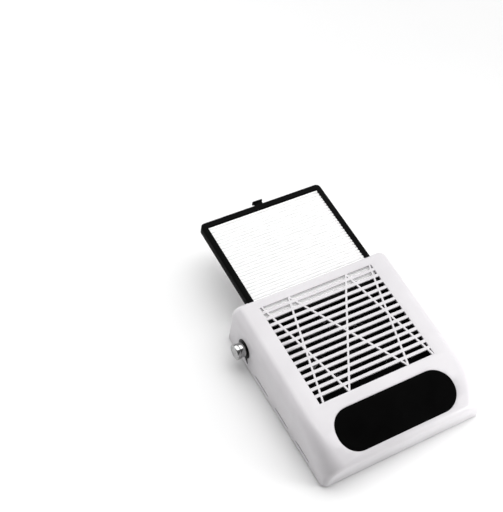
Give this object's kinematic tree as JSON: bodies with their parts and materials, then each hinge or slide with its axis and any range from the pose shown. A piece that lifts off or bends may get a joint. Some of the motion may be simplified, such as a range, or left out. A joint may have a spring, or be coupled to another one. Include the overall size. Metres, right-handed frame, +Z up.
{
  "type": "nail dust collector",
  "caption": "Low desktop fan box with a slatted intake grille, a palm rest on its sloping front, a pull-out filter drawer and a side speed knob.",
  "frame": {"origin": "under the middle of the casing, on the surface it stands on: x = 0 on the casing's centre line, y = 0 half way along the casing, z = 0 at the feet", "axes": "+X to the user's right, +Y away from the user, the way the drawer pulls out, +Z up"},
  "size_m": [0.2388, 0.37, 0.062],
  "materials": {
    "white_abs": "satin",
    "black_abs": "satin",
    "black_silicone": "matte",
    "filter_paper": "matte",
    "chrome_knob": "polished",
    "zinc_steel": "zinc plated",
    "bearing_steel": "ground",
    "brass_nickel": "nickel plated",
    "copper_wire": "enamelled",
    "core_steel": "laminated",
    "ferrite": "matte",
    "board_laminate": "solder mask",
    "chip_resin": "matte",
    "capacitor_sleeve": "gloss",
    "connector_nylon": "matte",
    "heat_sink_aluminium": "extruded",
    "lead_jacket": "matte",
    "foot_rubber": "matte",
    "foam": "open cell"
  },
  "bodies": {
    "casing": {"base_cover": "white_abs", "bearing_balls": "bearing_steel", "bearing_outer_rings": "bearing_steel", "board_capacitors": "capacitor_sleeve", "board_connectors": "connector_nylon", "board_screws": "zinc_steel", "casing_screws": "zinc_steel", "control_board": "board_laminate", "dial_lead": "lead_jacket", "dial_plate": "black_abs", "fan_circuit_board": "board_laminate", "fan_frame": "black_abs", "fan_gasket": "foam", "fan_lead": "lead_jacket", "fan_screws": "zinc_steel", "filter_tray": "black_abs", "heat_sink": "heat_sink_aluminium", "intake_grille": "white_abs", "palm_rest": "black_silicone", "potentiometer_body": "zinc_steel", "potentiometer_nut": "brass_nickel", "potentiometer_terminals": "brass_nickel", "potentiometer_washer": "zinc_steel", "power_inlet": "black_abs", "power_inlet_nut": "brass_nickel", "power_inlet_pin": "brass_nickel", "power_lead": "lead_jacket", "power_transistor": "chip_resin", "preload_spring": "bearing_steel", "rubber_foot_front_left": "foot_rubber", "rubber_foot_front_right": "foot_rubber", "rubber_foot_rear_left": "foot_rubber", "rubber_foot_rear_right": "foot_rubber", "speed_controller_chip": "chip_resin", "stator_core": "core_steel", "stator_windings": "copper_wire", "tray_screws": "zinc_steel", "upper_casing": "white_abs"},
    "drawer": {"filter_frame": "black_abs", "filter_media": "filter_paper"},
    "knob": {"speed_knob": "chrome_knob", "knob_set_screw": "zinc_steel", "potentiometer_shaft": "bearing_steel"},
    "rotor": {"fan_impeller": "black_abs", "rotor_cup": "zinc_steel", "rotor_magnet": "ferrite", "fan_shaft": "bearing_steel", "bearing_inner_rings": "bearing_steel", "shaft_clip": "bearing_steel"}
  },
  "joints": [
    {"name": "filter_slide", "type": "slide", "parent": "casing", "child": "drawer", "axis": [0, 0.9991, 0.0422], "range_m": [-0.1284, 0.03]},
    {"name": "knob_turn", "type": "hinge", "parent": "casing", "child": "knob", "pos_m": [-0.115, 0.0749, 0.0256], "axis": [1, 0, 0], "range_deg": [0, 300]},
    {"name": "fan_spin", "type": "hinge", "parent": "casing", "child": "rotor", "pos_m": [0, 0.029, 0.02], "axis": [0, 0, 1], "continuous": true}
  ]
}
